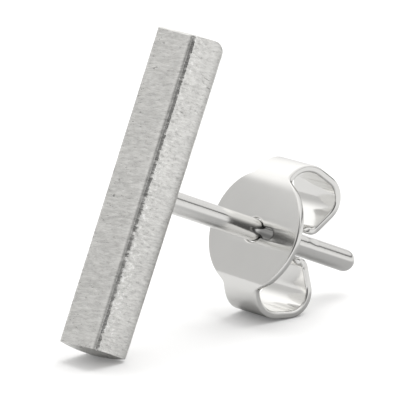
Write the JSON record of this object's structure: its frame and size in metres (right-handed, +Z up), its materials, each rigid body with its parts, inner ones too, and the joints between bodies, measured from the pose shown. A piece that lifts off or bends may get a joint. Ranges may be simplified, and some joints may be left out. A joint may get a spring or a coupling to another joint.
{
  "type": "bar stud earring",
  "caption": "Slim square bar stud of brushed silver on a straight round post, held by a butterfly friction back, leaning at rest on its own foot and scroll.",
  "frame": {"origin": "on the surface that the stud rests on, below the middle of its bounding box", "axes": "+Z up, +Y the way the post points as seen from above, +X across the bar, to the right of someone who faces the bar's front and looks along +Y"},
  "size_m": [0.0046, 0.0138, 0.0115],
  "materials": {
    "brushed_silver": "silver, brushed across the bar; its post is polished",
    "polished_silver": "silver, polished sheet"
  },
  "bodies": {
    "stud": {"bar_with_post": "brushed_silver"},
    "back": {"butterfly_back": "polished_silver"}
  },
  "joints": [
    {"name": "back_slide", "type": "slide", "parent": "stud", "child": "back", "axis": [0, 0.9132, -0.4075], "range_m": [-0.00485, 0.0061]}
  ]
}
